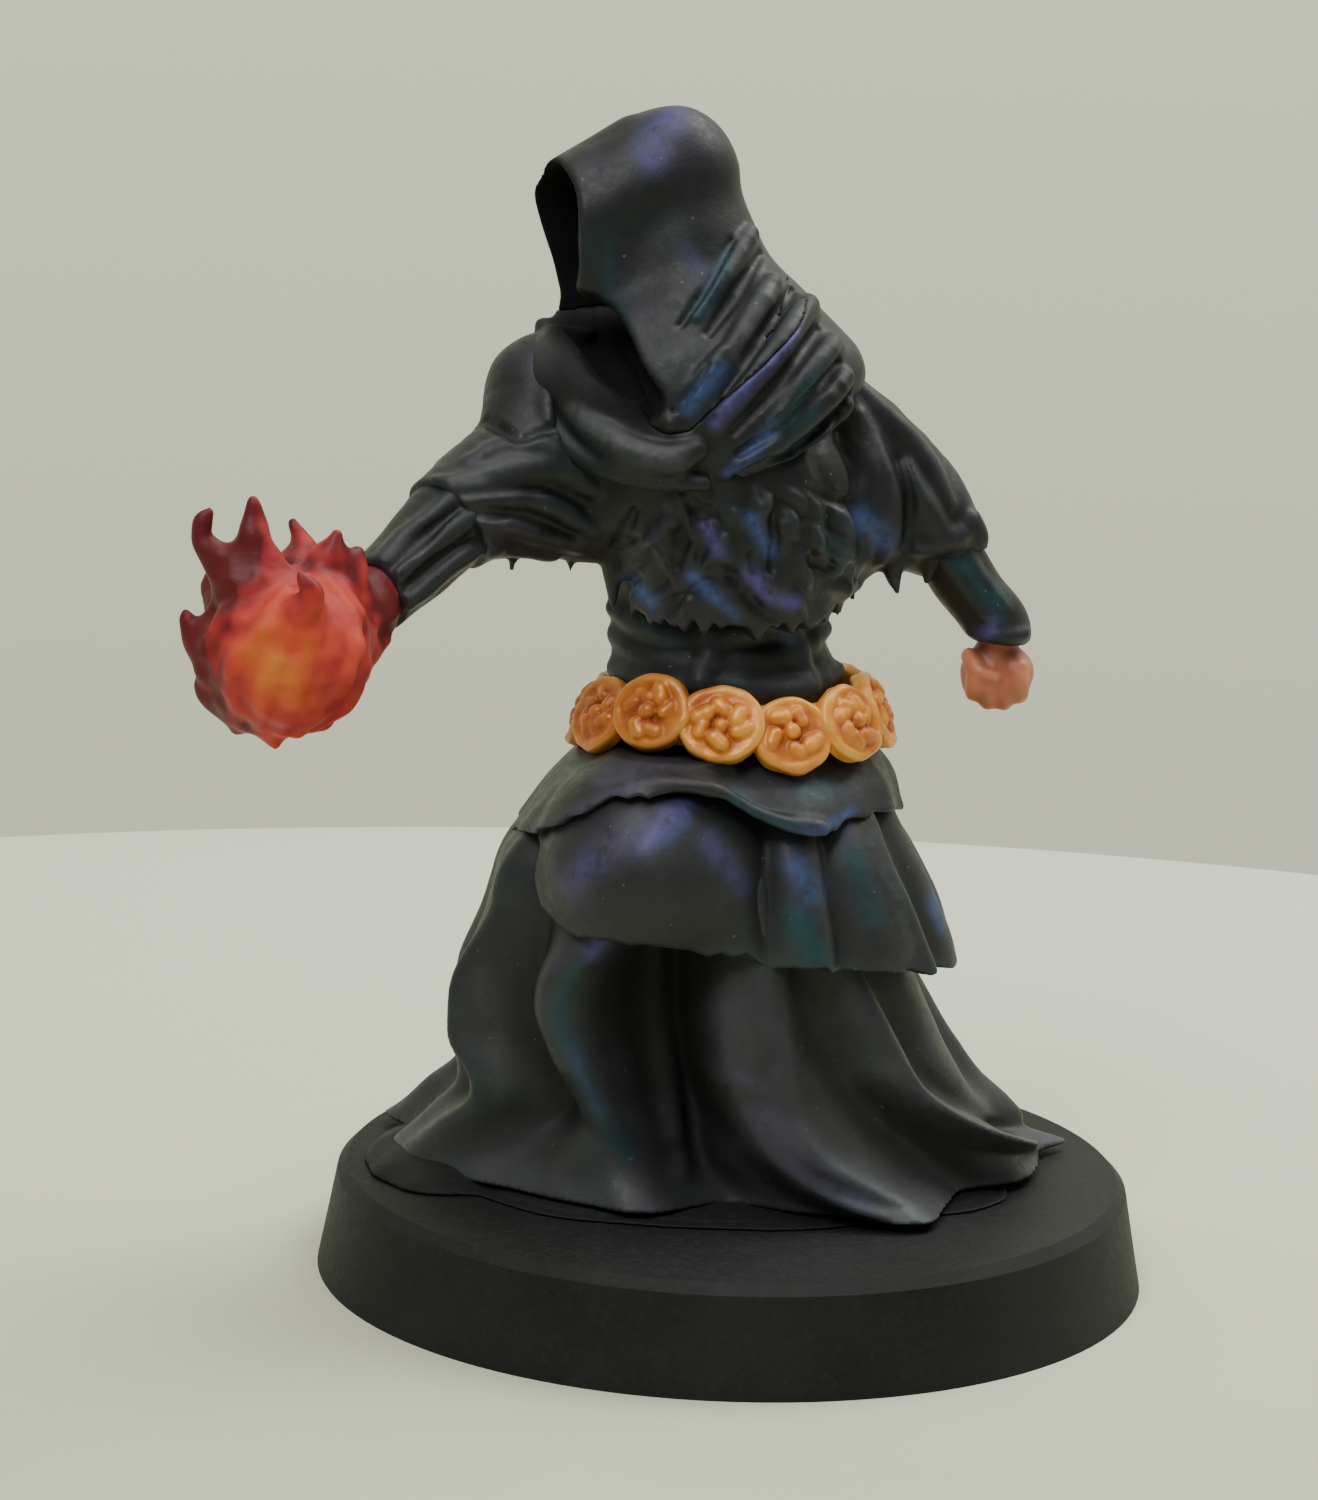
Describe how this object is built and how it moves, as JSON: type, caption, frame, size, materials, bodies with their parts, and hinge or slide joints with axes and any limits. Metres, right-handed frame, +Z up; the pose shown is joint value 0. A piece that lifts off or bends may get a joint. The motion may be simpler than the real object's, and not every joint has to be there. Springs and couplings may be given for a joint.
{
  "type": "painted tabletop figure",
  "caption": "Hooded robed spell-caster tabletop figure on a round bevelled base, with a ball of flame at one hand, a clenched fist, a torn cape and a belt of round medallions.",
  "frame": {"origin": "centre of the base's standing face", "axes": "+Z up, +Y towards the figure's back, +X towards the figure's left hand"},
  "size_m": [0.0286, 0.025, 0.035],
  "materials": {
    "base_plastic": "matt dark grey painted plastic",
    "ground_paint": "matt near-black paint over cast metal",
    "robe_paint": "satin black paint with violet, blue and teal highlights",
    "gold_paint": "satin gold-orange paint with a brown wash",
    "face_paint": "dark satin paint, in the shade of the hood",
    "skin_paint": "satin salmon flesh paint",
    "flame_paint": "satin paint from crimson tips to a yellow-orange heart"
  },
  "bodies": {
    "root": {"base": "base_plastic", "ground_disc": "ground_paint", "lower_robe": "robe_paint", "tunic_skirt": "robe_paint", "hip_drape": "robe_paint", "torso": "robe_paint", "mantle": "robe_paint", "cowl": "robe_paint", "hood": "robe_paint", "right_sleeve": "robe_paint", "left_sleeve": "robe_paint", "belt_strap": "gold_paint", "medallion_01": "gold_paint", "medallion_02": "gold_paint", "medallion_03": "gold_paint", "medallion_04": "gold_paint", "medallion_05": "gold_paint", "medallion_06": "gold_paint", "medallion_07": "gold_paint", "medallion_08": "gold_paint", "medallion_09": "gold_paint", "medallion_10": "gold_paint", "medallion_11": "gold_paint", "medallion_12": "gold_paint", "head": "face_paint", "left_fist": "skin_paint", "fireball": "flame_paint"}
  },
  "joints": []
}
